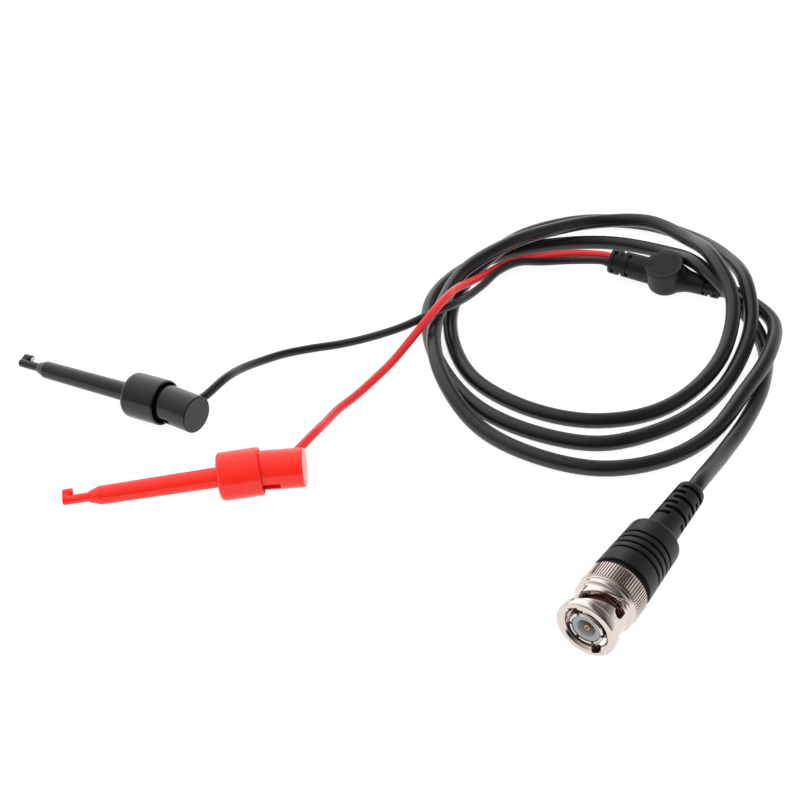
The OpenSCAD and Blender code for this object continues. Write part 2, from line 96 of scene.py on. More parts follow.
def paint_and_output(tree, geometry, finish):
    """Ends a tree: the geometry gets its material and goes to the output."""
    painted = add(tree, "GeometryNodeSetMaterial", {"Geometry": geometry, "Material": finish})
    add(tree, "NodeGroupOutput", {"Geometry": painted.outputs[0]})


def plain(piece):
    """Applies a piece's modifiers, so that it is a plain mesh."""
    view = bpy.context.evaluated_depsgraph_get()
    mesh = bpy.data.meshes.new_from_object(piece.evaluated_get(view))
    piece.modifiers.clear()
    piece.data = mesh
    return piece


def grown(piece, tree, identifiers, **values):
    """Runs a geometry node tree on a piece with the given inputs, and makes the result plain."""
    rule = piece.modifiers.new("rule", "NODES")
    rule.node_group = tree
    for name, value in values.items():
        rule[identifiers[name]] = value
    return plain(piece)


print("helpers ready")

# %% [markdown]
# ## The camera
# A product like this is shot from about forty degrees above the table with a longish lens, so
# the far side of the coil stays almost as large as the near side. The small roll is that of a
# camera held by hand. Placing it first lets every later choice be judged in its view.

# %% Set up the camera
LOOK_DOWN, ROLL = math.radians(40.7), 0.024
CAMERA_AT = (0.0045, -0.2525, 0.2267)
FOCAL_LENGTH, SENSOR_WIDTH = 60.48, 36
lens = bpy.data.cameras.new("camera")
lens.lens, lens.sensor_width = FOCAL_LENGTH, SENSOR_WIDTH
lens.clip_start, lens.clip_end = 0.01, 50
camera = bpy.data.objects.new("camera", lens)
bpy.context.scene.collection.objects.link(camera)
camera.matrix_world = (
    Matrix.Translation(CAMERA_AT)
    @ Matrix.Rotation(math.pi / 2 - LOOK_DOWN, 4, "X")
    @ Matrix.Rotation(ROLL, 4, "Z")
)
bpy.context.scene.camera = camera
bpy.context.scene.view_settings.view_transform = "Standard"
print("camera at", [round(v, 3) for v in camera.location])

# %% [markdown]
# ## Where the pieces lie
# The plug, the splitter and each clip are turned parts, so each is made upright about its own
# z axis, in millimetres, and then laid down by one matrix. Keeping those four matrices in one
# place means that a piece and what it fits always agree.

# %% Placing matrices
PLUG_AT, PLUG_TURN = (44.3, -70, 7.25), 55.8
SPLIT_AT, SPLIT_TURN = (64.4, 69.5, 4.95), -24.2
CLIP_TILT = 6.7
BLACK_TIP, BLACK_TURN = (-96.1, 21.2, 1.3), -26.9
RED_TIP, RED_TURN = (-74.7, -29.8, 1.3), 7.4
BUTTON_LEAN, BUTTON_PIVOT = math.radians(6), 48.75


def laid(at, turn, tilt=0):
    """The matrix that lays an upright piece down along a heading, with its far end tilted up."""
    return (
        Matrix.Translation(Vector(at) * MM)
        @ Matrix.Rotation(math.radians(turn), 4, "Z")
        @ Matrix.Rotation(math.radians(90 - tilt), 4, "Y")
    )


PLUG = laid(PLUG_AT, PLUG_TURN)
SPLITTER = laid(SPLIT_AT, SPLIT_TURN)
CLIPS = {
    "black": laid(BLACK_TIP, BLACK_TURN, CLIP_TILT),
    "red": laid(RED_TIP, RED_TURN, CLIP_TILT),
}
# Both buttons sit a little askew in their collars, leaning sideways toward the viewer.
LEANING = (
    Matrix.Translation((0, 0, BUTTON_PIVOT * MM))
    @ Matrix.Rotation(BUTTON_LEAN, 4, "X")
    @ Matrix.Translation((0, 0, -BUTTON_PIVOT * MM))
)
for name, matrix in CLIPS.items():
    print(name, "clip points along", [round(v, 3) for v in matrix.col[2][:3]])

# %% [markdown]
# ## The cords
# A cord is drawn as its centreline, a few given points joined by one smooth line. The
# coaxial cable is 4 mm of springy PVC, so its turns are wide and rise where they cross. The two
# leads are 2.2 mm and limp. A small geometry node tree sweeps a circle along each line.

# %% Written points of the three cords, in millimetres
COAX_D, LEAD_D = 4, 2.2
COAX_POINTS = [
    (84, -10, 3.5), (92.5, 4, 2.25), (99.5, 19, 2.25), (102.5, 35, 2.5), (96.5, 49, 7),
    (87.5, 61.5, 9.9), (80.5, 75.5, 4.25), (66.5, 82.5, 2.25), (50, 81.5, 2), (34.5, 76, 2),
    (21.5, 66.5, 2), (13, 52.5, 2), (12, 36.5, 2), (16, 20.5, 2), (24.5, 6.5, 2),
    (38, -2.5, 2), (54, -6, 2), (69.5, -1, 2.25), (82.5, 9, 2.25), (92, 22, 2.75),
    (98.5, 36.5, 7.5), (99, 52, 11.5), (96.5, 68, 8.5), (90.5, 82.5, 4.5), (78.5, 93, 2.25),
    (62.5, 94, 2.5), (48.5, 86, 5.25), (36, 75.5, 6.75), (25, 64, 3.75), (18.5, 49, 2.25),
    (18.5, 32.5, 2), (24, 17.5, 2), (36.5, 7, 2), (52, 2.5, 2), (68, 5.5, 2.25),
    (81, 15.5, 2.5), (90.5, 28.5, 5.5), (94, 43, 11.5), (90.5, 58.5, 14.5),
    (86.5, 73.5, 10.25), (77, 86.5, 7.5), (61.5, 87.5, 6.25), (47.5, 79.5, 8.25),
    (34.5, 69.5, 9.75), (22, 59, 7.75), (15.5, 44.5, 6.25), (13, 28, 6.75), (16, 12, 5.5),
    (24.5, -1.5, 2.5), (37.5, -11, 2.25), (53.5, -15, 2), (69.5, -11.5, 2.25),
    (82.5, -2, 2.5), (92.5, 11, 5.25), (101, 24.5, 7), (105.5, 40.5, 6),
]
BLACK_POINTS = [
    (-39.5, 6.5, 9.75), (-36.5, 14, 6.75), (-32.5, 20.5, 4), (-26.5, 26.5, 2),
    (-19.5, 30, 1.25), (-11.5, 32, 1.5), (-3.5, 32.5, 3.75), (4.5, 32.5, 7.25),
    (11.5, 34.5, 10), (18, 40, 9.5), (22.5, 46.5, 7.75), (27, 53.5, 6.75), (31.5, 60.5, 6.5),
    (37.5, 66.5, 5.5), (45, 70, 3.5), (53, 71, 3.5),
]
RED_POINTS = [
    (-15.5, -11, 8.5), (-13.5, -4, 5.5), (-11, 3.5, 3), (-7, 10.5, 1.5), (-2.5, 17.5, 1.25),
    (2.5, 23.5, 3), (7.5, 28, 7.5), (12.5, 32.5, 12.25), (16.5, 39, 13), (19.5, 46.5, 10.5),
    (23, 53, 7.75), (27.5, 59.5, 5.75), (32.5, 66, 4.5), (39, 71, 3.5), (46.5, 73.5, 3.25),
    (54.5, 74, 4),
]

# %% The points where the cords meet the plug, the splitter and the buttons
BOOT_END, SPLIT_LEN, LEAD_PITCH = 51.2, 32.7, 3.2
HOLE_FROM, HOLE_LEAN, LEAD_IN = 52.2, math.radians(40), 3
LEAD_START = LEAD_IN / math.cos(HOLE_LEAN)
HOLE_ROLL = {"black": 110, "red": 105}
COAX_STRAIGHT, LEAD_STRAIGHT = 5, 3  # how far each runs straight before it bends


def on(matrix, x, y, z):
    """A point of an upright piece, in millimetres, after the piece is laid down."""
    return matrix @ (Vector((x, y, z)) * MM) / MM


def hole_line(colour):
    """Two points of a lead inside its button, on the axis of the leaning hole."""
    roll = math.radians(HOLE_ROLL[colour])
    out = Vector((math.cos(roll), math.sin(roll), 0)) * math.cos(HOLE_LEAN)
    out.z = math.sin(HOLE_LEAN)
    start = Vector((0, 0, HOLE_FROM))
    return [on(CLIPS[colour] @ LEANING, *(start + out * d))
            for d in (LEAD_START, LEAD_START + LEAD_STRAIGHT)]


def splitter_line(side):
    """The last two points of a lead, straight into the splitter's wide end."""
    return [on(SPLITTER, 0, side * LEAD_PITCH / 2, z) for z in (-LEAD_STRAIGHT, 0)]


coax_route = [
    on(PLUG, 0, 0, BOOT_END), on(PLUG, 0, 0, BOOT_END + COAX_STRAIGHT), *COAX_POINTS,
    on(SPLITTER, 0, 0, SPLIT_LEN + COAX_STRAIGHT), on(SPLITTER, 0, 0, SPLIT_LEN),
]
lead_routes = {
    "black": hole_line("black") + BLACK_POINTS + splitter_line(-1),
    "red": hole_line("red") + RED_POINTS + splitter_line(1),
}
print("coax starts at", [round(v, 1) for v in coax_route[0]])


# %% A smooth line through written points
def smooth_line(points, steps=6):
    """Points of a Catmull-Rom line, which passes through every written point."""
    p = [Vector(q) for q in points]
    p = [2 * p[0] - p[1], *p, 2 * p[-1] - p[-2]]
    out = []
    for a, b, c, d in zip(p, p[1:], p[2:], p[3:]):
        for t in (k / steps for k in range(steps)):
            out.append(
                0.5 * (2 * b + (c - a) * t + (2 * a - 5 * b + 4 * c - d) * t**2
                       + (3 * b - a - 3 * c + d) * t**3)
            )
    return out + [p[-2]]


cord_tree = bpy.data.node_groups.new("round_cord", "GeometryNodeTree")
cord_inputs = interface(cord_tree, {"Line": "Geometry", "Radius": "Float", "Finish": "Material"})
given = add(cord_tree, "NodeGroupInput").outputs
line = add(cord_tree, "GeometryNodeMeshToCurve", {"Mesh": given["Line"]})
section = add(cord_tree, "GeometryNodeCurvePrimitiveCircle", {"Resolution": 28,
                                                              "Radius": given["Radius"]})
skin = add(cord_tree, "GeometryNodeCurveToMesh", {
    "Curve": line.outputs[0], "Profile Curve": section.outputs[0], "Fill Caps": True})
paint_and_output(cord_tree, skin.outputs[0], given["Finish"])


def tube(name, route, diameter):
    """A round tube along a route, with its centreline and its length, in metres."""
    line = [point * MM for point in smooth_line(route)]
    mesh = bpy.data.meshes.new(name)
    mesh.from_pydata(line, [(i, i + 1) for i in range(len(line) - 1)], [])
    cord = bpy.data.objects.new(name, mesh)
    bpy.context.scene.collection.objects.link(cord)
    grown(cord, cord_tree, cord_inputs, Radius=diameter / 2 * MM)
    cord.data.shade_smooth()
    cord.data.set_sharp_from_angle(angle=math.radians(60))
    length = sum((b - a).length for a, b in zip(line, line[1:]))
    print(name, "is", round(length / MM, 1), "mm long")
    return cord, [tuple(point) for point in line], length


coax, path, length = tube("coax_jacket", coax_route, COAX_D)
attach(coax, "lead")
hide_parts("coax_cable")
leads = {}
for colour in ("black", "red"):
    lead, path, length = tube(f"{colour}_lead_jacket", lead_routes[colour], LEAD_D)
    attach(lead, "lead")
    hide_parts(f"{colour}_lead")
    leads[colour] = lead

# %% [markdown]
# ## The studio
# Gloss black plastic and nickel show little of their own colour. They show the room. Here a
# big soft light stands behind and to the left of the table, the right-hand wall is pale near
# the floor, and the side of the camera is dark. So what a surface mirrors grows brighter from
# front to back, and goes dark overhead on the right, which draws the bright upper edges and
# the deep bands along the clips and round the nut. The camera itself sees plain white.

# %% The world
BRIGHTEST = 1.75  # how bright the back of the room is in a reflection; the front is black
DIM_SIDE = 0.12  # the share of that which is left overhead on the right
DIM_FROM, DIM_TO = -0.1, 0.24  # where it starts to dim and where it is dim, from left to right
WALL_SHARE, WALL_TOP = 0.9, 0.75  # what the pale wall keeps at the floor, and where it ends
AMBIENT = 0.92  # even light on surfaces; the lamps bring the total to about one
world = bpy.data.worlds.new("studio")
bpy.context.scene.world = world
world.use_nodes = True
sky = world.node_tree
sky.nodes.clear()
direction = add(sky, "ShaderNodeTexCoord").outputs["Generated"]
axes = add(sky, "ShaderNodeSeparateXYZ", {0: direction})
depth = add(sky, "ShaderNodeMapRange", {
    "Value": axes.outputs["Y"], "From Min": -1, "From Max": 1, "To Min": 0, "To Max": BRIGHTEST})
fade = add(sky, "ShaderNodeMapRange", {
    "Value": axes.outputs["X"], "From Min": DIM_FROM, "From Max": DIM_TO, "To Min": 1,
    "To Max": DIM_SIDE}, interpolation_type="SMOOTHSTEP")
walls = add(sky, "ShaderNodeMapRange", {
    "Value": axes.outputs["Z"], "From Min": 0, "From Max": WALL_TOP, "To Min": WALL_SHARE,
    "To Max": 0})
across = add(sky, "ShaderNodeMath", {0: fade.outputs[0], 1: walls.outputs[0]},
             operation="MAXIMUM")
reflected = add(sky, "ShaderNodeMath", {0: depth.outputs[0], 1: across.outputs[0]},
                operation="MULTIPLY")
ray = add(sky, "ShaderNodeLightPath")
lit = add(sky, "ShaderNodeMix", {0: ray.outputs["Is Glossy Ray"], 2: AMBIENT,
                                 3: reflected.outputs[0]})
seen = add(sky, "ShaderNodeMath", {0: ray.outputs["Is Camera Ray"],
                                   1: ray.outputs["Is Transmission Ray"]}, operation="MAXIMUM")
strength = add(sky, "ShaderNodeMix", {0: seen.outputs[0], 2: lit.outputs[0], 3: 1.0})
background = add(sky, "ShaderNodeBackground", {"Color": (1, 1, 1, 1),
                                               "Strength": strength.outputs[0]})
add(sky, "ShaderNodeOutputWorld", {"Surface": background.outputs[0]})
print("world ready")


# %% The lamps
def lamp(name, at, toward, size, watts):
    """A square soft lamp that looks at a point."""
    light = bpy.data.lights.new(name, "AREA")
    light.shape, light.size, light.energy = "SQUARE", size, watts
    holder = bpy.data.objects.new(name, light)
    bpy.context.scene.collection.objects.link(holder)
    holder.location = at
    aim = Vector(toward) - Vector(at)
    holder.rotation_mode = "QUATERNION"
    holder.rotation_quaternion = aim.to_track_quat("-Z", "Y")
    holder.visible_glossy = False  # the room's own gradient is what the gloss mirrors


lamp("softbox_above", (0.02, 0.18, 0.85), (0.02, 0.02, 0), 0.7, 1.2)
lamp("softbox_left", (-0.75, 0.05, 0.55), (0, 0, 0), 0.5, 0.6)

# %% [markdown]
# ## The table
# The table is white paper. What the camera sees is mostly its own even glow, which stays at
# white where lamps reach it and falls to a pale grey in a shadow. Other rays see plain paper,
# which throws soft light back up on the undersides.

# %% The table
HALF = 2.5
GLOW, CATCH, PAPER = 0.9, 0.25, 0.8  # its own glow, what it adds of the lamps, plain paper
table_mesh = bpy.data.meshes.new("table")
table_mesh.from_pydata(
    [(-HALF, -HALF, 0), (HALF, -HALF, 0), (HALF, HALF, 0), (-HALF, HALF, 0)], [], [(0, 1, 2, 3)]
)
table = bpy.data.objects.new("table", table_mesh)
table.location.z = -0.0001
bpy.context.scene.collection.objects.link(table)
paper = bpy.data.materials.new("white_paper_sweep")
paper.use_nodes = True
tree = paper.node_tree
tree.nodes.clear()
ray = add(tree, "ShaderNodeLightPath")
seen = add(tree, "ShaderNodeMath", {0: ray.outputs["Is Camera Ray"],
                                    1: ray.outputs["Is Glossy Ray"]}, operation="MAXIMUM")
seen = add(tree, "ShaderNodeMath", {0: seen.outputs[0],
                                    1: ray.outputs["Is Transmission Ray"]}, operation="MAXIMUM")
glow = add(tree, "ShaderNodeEmission", {"Color": (1, 1, 1, 1), "Strength": GLOW})
lit = add(tree, "ShaderNodeBsdfDiffuse", {"Color": (CATCH, CATCH, CATCH, 1)})
shown = add(tree, "ShaderNodeAddShader", {0: glow.outputs[0], 1: lit.outputs[0]})
plain_paper = add(tree, "ShaderNodeBsdfDiffuse", {"Color": (PAPER, PAPER, PAPER, 1)})
mixed = add(tree, "ShaderNodeMixShader", {0: seen.outputs[0], 1: plain_paper.outputs[0],
                                          2: shown.outputs[0]})
add(tree, "ShaderNodeOutputMaterial", {"Surface": mixed.outputs[0]})
table_mesh.materials.append(paper)
print("table is", 2 * HALF, "m wide")

# %% [markdown]
# ## Finishes
# Every finish starts from what the real surface is. Moulded plastics share their build: one
# colour, a gloss, and a very fine relief left by the mould. Metals keep their own reflectivity
# and get the rings that a lathe leaves round their axis, which only show as a soft silkiness.


# %% What all finishes share
def surfaced(finish, where, height, patch_mm, roughness, vary, relief_mm):
    """Gives a finish a gloss that varies in patches, and a fine relief from a height."""
    tree = finish.node_tree
    shader = tree.nodes["Principled BSDF"]
    patches = add(tree, "ShaderNodeTexNoise", {"Vector": where, "Scale": 1 / (patch_mm * MM),
                                               "Detail": 3.0})
    gloss = add(tree, "ShaderNodeMapRange", {
        "Value": patches.outputs[0], "From Min": 0.3, "From Max": 0.7,
        "To Min": roughness - vary, "To Max": roughness + vary})
    relief = add(tree, "ShaderNodeBump", {"Height": height, "Strength": 1.0,
                                          "Distance": relief_mm * MM})
    tree.links.new(gloss.outputs[0], shader.inputs["Roughness"])
    tree.links.new(relief.outputs[0], shader.inputs["Normal"])
    return finish


# %% Moulded plastics
def moulded(name, code, roughness, grain_mm, relief_mm, vary=0.05, shine=0.5):
    """A moulded plastic: even colour, a slightly uneven gloss, and mould grain in its surface."""
    finish = bpy.data.materials.new(name)
    finish.use_nodes = True
    tree = finish.node_tree
    shader = tree.nodes["Principled BSDF"]
    shader.inputs["Base Color"].default_value = linear(code)
    shader.inputs["IOR"].default_value = 1.5
    shader.inputs["Specular IOR Level"].default_value = shine
    where = add(tree, "ShaderNodeTexCoord").outputs["Object"]
    grain = add(tree, "ShaderNodeTexNoise", {"Vector": where, "Scale": 1 / (grain_mm * MM),
                                             "Detail": 2.0})
    return surfaced(finish, where, grain.outputs[0], 6, roughness, vary, relief_mm)


# The overmoulds are soft PVC with an eggshell surface. The cable's jacket is extruded from a
# harder grade, so it has more shine.
SATIN_PVC = moulded("satin_black_pvc", "#131214", 0.42, 0.35, 0.006, shine=0.35)
JACKET = moulded("extruded_cable_jacket", "#1a1718", 0.3, 0.8, 0.002, shine=0.6)
# The splitter's thumb pad has the dull texture of a spark-eroded mould.
THUMB_PAD = moulded("spark_eroded_black_pvc", "#141213", 0.85, 0.2, 0.004, shine=0.05)
# The thin leads are extruded, so they come out smoother than a moulding.
BLACK_LEAD = moulded("extruded_black_pvc", "#1a1719", 0.34, 0.6, 0.004)
RED_LEAD = moulded("extruded_red_pvc", "#e6292c", 0.36, 0.6, 0.004)
# The clips are nylon from a polished mould, with only a faint waviness left in the gloss.
GLOSS = {
    "black": moulded("gloss_black_nylon", "#0d0b0c", 0.16, 2.5, 0.010, 0.03),
    "red": moulded("gloss_red_nylon", "#ff2414", 0.2, 2.5, 0.010, 0.03),
}
# The pieces inside are plain working plastics.
NATURAL = moulded("natural_polyethylene", "#dcd9d0", 0.45, 0.5, 0.004)
SILICONE = moulded("red_silicone_rubber", "#43150f", 0.5, 0.3, 0.006)
INSULATOR = moulded("milky_grey_insulator", "#a4a9ae", 0.32, 0.4, 0.002)
soft_light = INSULATOR.node_tree.nodes["Principled BSDF"]
soft_light.inputs["Subsurface Weight"].default_value = 0.35
soft_light.inputs["Subsurface Radius"].default_value = (0.6, 0.7, 0.9)
soft_light.inputs["Subsurface Scale"].default_value = 0.0006
print("plastics:", [m.name for m in bpy.data.materials if "paper" not in m.name])


# %% Turned metals
def turned_metal(name, code, roughness, matrix, line_mm, relief_mm, vary=0.05):
    """A turned metal: rings about the axis of the matrix, and a gloss that varies a little."""
    finish = bpy.data.materials.new(name)
    finish.use_nodes = True
    tree = finish.node_tree
    shader = tree.nodes["Principled BSDF"]
    shader.inputs["Base Color"].default_value = linear(code)
    shader.inputs["Metallic"].default_value = 1.0
    where = add(tree, "ShaderNodeTexCoord").outputs["Object"]
    local = add(tree, "ShaderNodeMapping", {
        "Vector": where, "Location": matrix.to_translation(), "Rotation": matrix.to_euler()},
        vector_type="TEXTURE")
    axes = add(tree, "ShaderNodeSeparateXYZ", {0: local.outputs[0]})
    radius = add(tree, "ShaderNodeVectorMath", {0: local.outputs[0], 1: (1, 1, 0)},
                 operation="MULTIPLY")
    radius = add(tree, "ShaderNodeVectorMath", {0: radius.outputs[0]}, operation="LENGTH")
    ring = add(tree, "ShaderNodeCombineXYZ", {"X": radius.outputs["Value"],
                                              "Z": axes.outputs["Z"]})
    lines = add(tree, "ShaderNodeTexNoise", {"Vector": ring.outputs[0],
                                             "Scale": 1 / (line_mm * MM), "Detail": 3.0})
    return surfaced(finish, where, lines.outputs[0], 2.5, roughness, vary, relief_mm)


# Nickel plate is a warm white metal. The plating rounds off the lathe marks.
NICKEL = turned_metal("nickel_plated_brass", "#d8ccc6", 0.13, PLUG, 0.25, 0.0015)
GOLD = turned_metal("gold_plated_pin", "#e6ad7c", 0.25, PLUG, 0.2, 0.0005)
STEEL = turned_metal("bright_steel", "#c4c2c0", 0.22, PLUG, 0.3, 0.001)
BRASS = turned_metal("plain_brass", "#c9a255", 0.3, PLUG, 0.3, 0.001)
print("metals:", NICKEL.name, GOLD.name, STEEL.name, BRASS.name)

# %% [markdown]
# ## Turning a piece on the lathe
# Nearly every hard piece here is round, so it is drawn as half of its section and spun. A real
# edge is never perfectly sharp: a tiny radius catches a line of light, and without it a model
# looks like paper. So a corner of the outline may carry a third number, its fillet.


# %% Outline and lathe helpers
def softened(outline, steps=4):
    """An outline with its corners rounded. A corner is (radius, height) or (.., .., fillet)."""
    out = []
    for i, corner in enumerate(outline):
        here = Vector(corner[:2])
        if len(corner) == 2:
            out.append(here)
            continue
        ends = [Vector(outline[j % len(outline)][:2]) for j in (i - 1, i + 1)]
        start, end = (here + (e - here).normalized() * corner[2] for e in ends)
        for t in (k / steps for k in range(steps + 1)):
            out.append(start.lerp(here, t).lerp(here.lerp(end, t), t))
    return out


def new_piece(name, shape):
    """An object made from a bmesh, with its faces turned outwards."""
    bmesh.ops.recalc_face_normals(shape, faces=shape.faces)
    mesh = bpy.data.meshes.new(name)
    shape.to_mesh(mesh)
    shape.free()
    piece = bpy.data.objects.new(name, mesh)
    bpy.context.scene.collection.objects.link(piece)
    return piece


def turned(name, outline, sides=128):
    """A solid spun about its own z axis from half of its section, in millimetres."""
    shape = bmesh.new()
    rings = []
    for r, z in softened(outline):
        count = 1 if r < 1e-6 else sides
        rings.append([
            shape.verts.new((r * MM * math.cos(a), r * MM * math.sin(a), z * MM))
            for a in (math.tau * k / count for k in range(count))
        ])
    for a, b in zip([rings[-1], *rings], rings):
        if len(a) == len(b) == 1:
            continue
        for k in range(sides):
            corners = [a[k % len(a)], a[(k + 1) % len(a)], b[(k + 1) % len(b)], b[k % len(b)]]
            shape.faces.new(dict.fromkeys(corners))
    return new_piece(name, shape)


def block(name, low, high):
    """A box between two corners, in millimetres."""
    shape = bmesh.new()
    bmesh.ops.create_cube(shape, size=1)
    for v in shape.verts:
        v.co = [(a + (b - a) * (c + 0.5)) * MM for a, b, c in zip(low, high, v.co)]
    return new_piece(name, shape)


def arc_block(name, z, width, inner, outer, mid, half, steps=24):
    """A block bent round the z axis, from mid - half to mid + half degrees."""
    shape = bmesh.new()
    rows = []
    for k in range(steps + 1):
        a = math.radians(mid - half + 2 * half * k / steps)
        rows.append([
            shape.verts.new((r * MM * math.cos(a), r * MM * math.sin(a), (z + h) * MM))
            for r, h in ((inner, -width / 2), (outer, -width / 2), (outer, width / 2),
                         (inner, width / 2))
        ])
    for a, b in zip(rows, rows[1:]):
        for i in range(4):
            shape.faces.new((a[i], a[(i + 1) % 4], b[(i + 1) % 4], b[i]))
    shape.faces.new(rows[0])
    shape.faces.new(reversed(rows[-1]))
    return new_piece(name, shape)


# %% Helpers that cut, join, finish and place a piece
def combine(piece, others, operation):
    """Cuts the other pieces from a piece, or joins them to it, and removes them."""
    for other in others:
        change = piece.modifiers.new("combine", "BOOLEAN")
        change.operation, change.solver, change.object = operation, "EXACT", other
    plain(piece)
    for other in others:
        bpy.data.objects.remove(other)
    return piece


def broken_edges(piece, width_mm, angle=40, segments=2):
    """Rounds the sharp edges that cutting leaves."""
    edge = piece.modifiers.new("edges", "BEVEL")
    edge.width, edge.segments, edge.limit_method = width_mm * MM, segments, "ANGLE"
    edge.angle_limit = math.radians(angle)
    return plain(piece)


def settle(piece, matrix, finish, body, slot, *stands_for, sharp=35):
    """Lays a piece down, gives it its finish and its body, and hides the solids that it stands
    for.
    """
    piece.data.transform(matrix)
    piece.data.materials.clear()
    piece.data.materials.append(finish)
    piece.data.shade_smooth()
    piece.data.set_sharp_from_angle(angle=math.radians(sharp))
    shading = piece.modifiers.new("shading", "WEIGHTED_NORMAL")
    shading.keep_sharp = True
    plain(piece)
    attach(piece, body)
    if stands_for:
        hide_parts(*stands_for)
    print(piece.name, len(piece.data.polygons), "faces")
    return piece


# %% [markdown]
# ## Repeating a shape by rule
# The knurl of the nut, the slots of the strain reliefs and the slits of the contact are all one
# shape repeated round an axis, sometimes with a step along it. A small geometry node tree says
# that rule once. Its inputs are the count, the turn and the rise from one copy to the next.


# %% A geometry node tree that repeats a shape round its axis
ring_tree = bpy.data.node_groups.new("copies_round_an_axis", "GeometryNodeTree")
ring_inputs = interface(ring_tree, {"Shape": "Geometry", "Count": "Int", "Turn": "Float",
                                    "Rise": "Float", "Finish": "Material"})
given = add(ring_tree, "NodeGroupInput").outputs
step = add(ring_tree, "ShaderNodeCombineXYZ", {"Z": given["Rise"]})
row = add(ring_tree, "GeometryNodeMeshLine", {"Count": given["Count"],
                                              "Offset": step.outputs[0]})
copies = add(ring_tree, "GeometryNodeInstanceOnPoints", {"Points": row.outputs[0],
                                                         "Instance": given["Shape"]})
order = add(ring_tree, "GeometryNodeInputIndex")
angle = add(ring_tree, "ShaderNodeMath", {0: order.outputs[0], 1: given["Turn"]},
            operation="MULTIPLY")
about = add(ring_tree, "ShaderNodeCombineXYZ", {"Z": angle.outputs[0]})
spun = add(ring_tree, "GeometryNodeRotateInstances", {
    "Instances": copies.outputs[0], "Rotation": about.outputs[0], "Local Space": False})
real = add(ring_tree, "GeometryNodeRealizeInstances", {"Geometry": spun.outputs[0]})
paint_and_output(ring_tree, real.outputs[0], given["Finish"])


def repeated(piece, count, turn, rise=0, finish=None):
    """Copies of a piece round its own z axis: turn in degrees, rise in millimetres."""
    return grown(piece, ring_tree, ring_inputs, Count=count, Turn=math.radians(turn),
                 Rise=rise * MM, Finish=finish)


print("tree inputs:", list(ring_inputs))

# %% [markdown]
# ## The coupling nut
# The nut is turned from brass: a broad front rim, a thinner neck that holds the two bayonet
# channels, a rib with a groove, and a knurled grip. The channels are cut right through the
# neck. Each enters straight from the front and then climbs round the nut to a notch.

# %% Turn the nut and cut its channels
NUT_R, RIM_R, NECK_R, BORE_R, CAVITY_R, SHANK_R = 7.25, 7.05, 6.35, 4.95, 6.1, 4.25
RUN_FIT = 0.05
CHANNEL, RAMP_MID, RAMP_TILT, RAMP_HALF, RAMP_DIR = 2.6, 5.3, 18, 45, 185
CUT_FROM, CUT_TO, ENTRY_R, ENTRY_END, NOTCH = 4.6, 8.6, 5.95, 4, 1.4
nut = turned("bayonet_nut", [
    (5.5, 0, 0.15), (6.6, 0, 0.3), (6.93, 0.25, 0.2), (RIM_R, 0.7, 0.3), (RIM_R, 2, 0.2),
    (6.8, 2.25, 0.12), (NECK_R, 2.4, 0.2), (NECK_R, 7.5, 0.35), (6.75, 7.8, 0.15),
    (7.0, 8, 0.12), (7.0, 8.7, 0.12), (6.7, 8.9, 0.08), (6.7, 9.2, 0.08), (7.0, 9.4, 0.12),
    (7.0, 9.7, 0.1), (6.8, 9.8, 0.05), (6.8, 14.6, 0.15), (6.55, 14.9, 0.15),
    (CAVITY_R, 14.9, 0.15), (CAVITY_R, 9.6, 0.1), (SHANK_R + RUN_FIT, 9.6, 0.1),
    (SHANK_R + RUN_FIT, 8.3, 0.1), (BORE_R, 8.3, 0.2), (BORE_R, 0.6, 0.2),
], sides=144)


def channel():
    """The pieces of one bayonet channel: its entry, its ramp and its notch."""
    entry = block("entry", (0, -CHANNEL / 2, -1), (ENTRY_R, CHANNEL / 2, ENTRY_END))
    entry.data.transform(Matrix.Rotation(math.radians(RAMP_DIR - RAMP_HALF + 2), 4, "Z"))
    ramp = arc_block("ramp", 0, CHANNEL, CUT_FROM, CUT_TO, 0, RAMP_HALF, 32)
    ramp.data.transform(
        Matrix.Translation((0, 0, RAMP_MID * MM))
        @ Matrix.Rotation(math.radians(RAMP_DIR), 4, "Z")
        @ Matrix.Rotation(math.radians(RAMP_TILT), 4, "X")
    )
    to_notch = (
        Matrix.Rotation(math.radians(RAMP_DIR + RAMP_HALF), 4, "Z")
        @ Matrix.Translation((0, 0, RAMP_MID * MM))
    )
    notch = turned("notch", [(0, CUT_FROM), (CHANNEL / 2, CUT_FROM), (CHANNEL / 2, CUT_TO),
                             (0, CUT_TO)], 48)
    notch.data.transform(to_notch @ Matrix.Rotation(math.pi / 2, 4, "Y"))
    run = block("run", (CUT_FROM, -CHANNEL / 2, 0), (CUT_TO, CHANNEL / 2, NOTCH))
    run.data.transform(to_notch)
    return combine(entry, [ramp, notch, run], "UNION")


channels = repeated(channel(), 2, 180)
combine(nut, [channels], "DIFFERENCE")
broken_edges(nut, 0.1)
settle(nut, PLUG, NICKEL, "coupling_nut", "nickel", "coupling_nut", sharp=40)

# %% [markdown]
# The grip has straight ridges with narrow valleys between them. One ridge is a short bar with
# sloping flanks and ends, and the tree sets 72 of them round the nut, about 0.63 mm apart.

